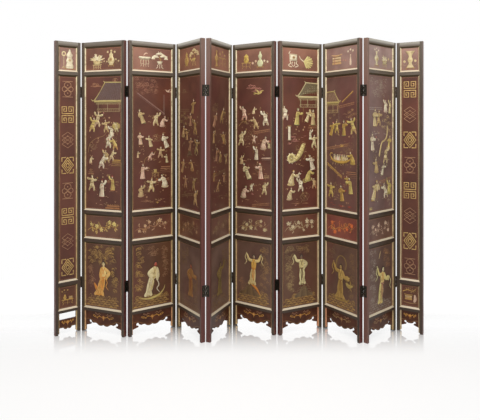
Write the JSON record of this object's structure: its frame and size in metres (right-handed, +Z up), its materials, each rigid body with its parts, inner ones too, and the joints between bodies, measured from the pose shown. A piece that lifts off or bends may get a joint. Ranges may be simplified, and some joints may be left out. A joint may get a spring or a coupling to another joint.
{
  "type": "folding lacquer screen",
  "caption": "Free-standing folding screen of hinged lacquer leaves set in a zigzag, with gilt mouldings, inlaid figure panels and scalloped aprons.",
  "frame": {"origin": "on the floor, under the middle of the screen's bounding box as it stands", "axes": "+Z up; +X along the length of the screen; -Y is the front that the figure panels face"},
  "size_m": [2.6492, 0.3792, 2.1],
  "materials": {
    "frame_lacquer": "dark lacquer, satin",
    "board_lacquer": "brown-red lacquer, satin",
    "gilt": "worn gilt over wood",
    "apron_lacquer": "brown-red lacquer, satin",
    "hinge_iron": "blackened iron"
  },
  "bodies": {
    "leaf_01": {"leaf_01_stiles": "frame_lacquer", "leaf_01_rails": "frame_lacquer", "leaf_01_boards": "board_lacquer", "leaf_01_mouldings": "gilt", "leaf_01_apron": "apron_lacquer", "leaf_01_hinges": "hinge_iron"},
    "leaf_02": {"leaf_02_stiles": "frame_lacquer", "leaf_02_rails": "frame_lacquer", "leaf_02_boards": "board_lacquer", "leaf_02_mouldings": "gilt", "leaf_02_apron": "apron_lacquer", "leaf_02_hinges": "hinge_iron"},
    "leaf_03": {"leaf_03_stiles": "frame_lacquer", "leaf_03_rails": "frame_lacquer", "leaf_03_boards": "board_lacquer", "leaf_03_mouldings": "gilt", "leaf_03_apron": "apron_lacquer", "leaf_03_hinges": "hinge_iron"},
    "leaf_04": {"leaf_04_stiles": "frame_lacquer", "leaf_04_rails": "frame_lacquer", "leaf_04_boards": "board_lacquer", "leaf_04_mouldings": "gilt", "leaf_04_apron": "apron_lacquer", "leaf_04_hinges": "hinge_iron"},
    "leaf_05": {"leaf_05_stiles": "frame_lacquer", "leaf_05_rails": "frame_lacquer", "leaf_05_boards": "board_lacquer", "leaf_05_mouldings": "gilt", "leaf_05_apron": "apron_lacquer", "leaf_05_hinges": "hinge_iron"},
    "leaf_06": {"leaf_06_stiles": "frame_lacquer", "leaf_06_rails": "frame_lacquer", "leaf_06_boards": "board_lacquer", "leaf_06_mouldings": "gilt", "leaf_06_apron": "apron_lacquer", "leaf_06_hinges": "hinge_iron"},
    "leaf_07": {"leaf_07_stiles": "frame_lacquer", "leaf_07_rails": "frame_lacquer", "leaf_07_boards": "board_lacquer", "leaf_07_mouldings": "gilt", "leaf_07_apron": "apron_lacquer", "leaf_07_hinges": "hinge_iron"},
    "leaf_08": {"leaf_08_stiles": "frame_lacquer", "leaf_08_rails": "frame_lacquer", "leaf_08_boards": "board_lacquer", "leaf_08_mouldings": "gilt", "leaf_08_apron": "apron_lacquer", "leaf_08_hinges": "hinge_iron"},
    "leaf_09": {"leaf_09_stiles": "frame_lacquer", "leaf_09_rails": "frame_lacquer", "leaf_09_boards": "board_lacquer", "leaf_09_mouldings": "gilt", "leaf_09_apron": "apron_lacquer", "leaf_09_hinges": "hinge_iron"},
    "leaf_10": {"leaf_10_stiles": "frame_lacquer", "leaf_10_rails": "frame_lacquer", "leaf_10_boards": "board_lacquer", "leaf_10_mouldings": "gilt", "leaf_10_apron": "apron_lacquer", "leaf_10_hinges": "hinge_iron"}
  },
  "joints": [
    {"name": "fold_1", "type": "hinge", "parent": "leaf_02", "child": "leaf_01", "pos_m": [-1.15775, 0.05242, 0], "axis": [0, 0, 1], "range_deg": [-60, 120]},
    {"name": "fold_2", "type": "hinge", "parent": "leaf_03", "child": "leaf_02", "pos_m": [-0.80043, -0.05136, 0], "axis": [0, 0, -1], "range_deg": [-55, 125]},
    {"name": "fold_3", "type": "hinge", "parent": "leaf_04", "child": "leaf_03", "pos_m": [-0.47248, 0.12445, 0], "axis": [0, 0, 1], "range_deg": [-89, 91]},
    {"name": "fold_4", "type": "hinge", "parent": "leaf_05", "child": "leaf_04", "pos_m": [-0.23428, -0.16141, 0], "axis": [0, 0, -1], "range_deg": [-122, 58]},
    {"name": "fold_5", "type": "hinge", "parent": "leaf_05", "child": "leaf_06", "pos_m": [-0.055, 0.16465, 0], "axis": [0, 0, -1], "range_deg": [-101.5, 78.5]},
    {"name": "fold_6", "type": "hinge", "parent": "leaf_06", "child": "leaf_07", "pos_m": [0.26823, -0.01969, 0], "axis": [0, 0, 1], "range_deg": [-62, 118]},
    {"name": "fold_7", "type": "hinge", "parent": "leaf_07", "child": "leaf_08", "pos_m": [0.61396, 0.11787, 0], "axis": [0, 0, -1], "range_deg": [-82.5, 97.5]},
    {"name": "fold_8", "type": "hinge", "parent": "leaf_08", "child": "leaf_09", "pos_m": [0.85217, -0.16799, 0], "axis": [0, 0, 1], "range_deg": [-98.5, 81.5]},
    {"name": "fold_9", "type": "hinge", "parent": "leaf_09", "child": "leaf_10", "pos_m": [1.1466, 0.05953, 0], "axis": [0, 0, -1], "range_deg": [-73.5, 106.5]}
  ]
}
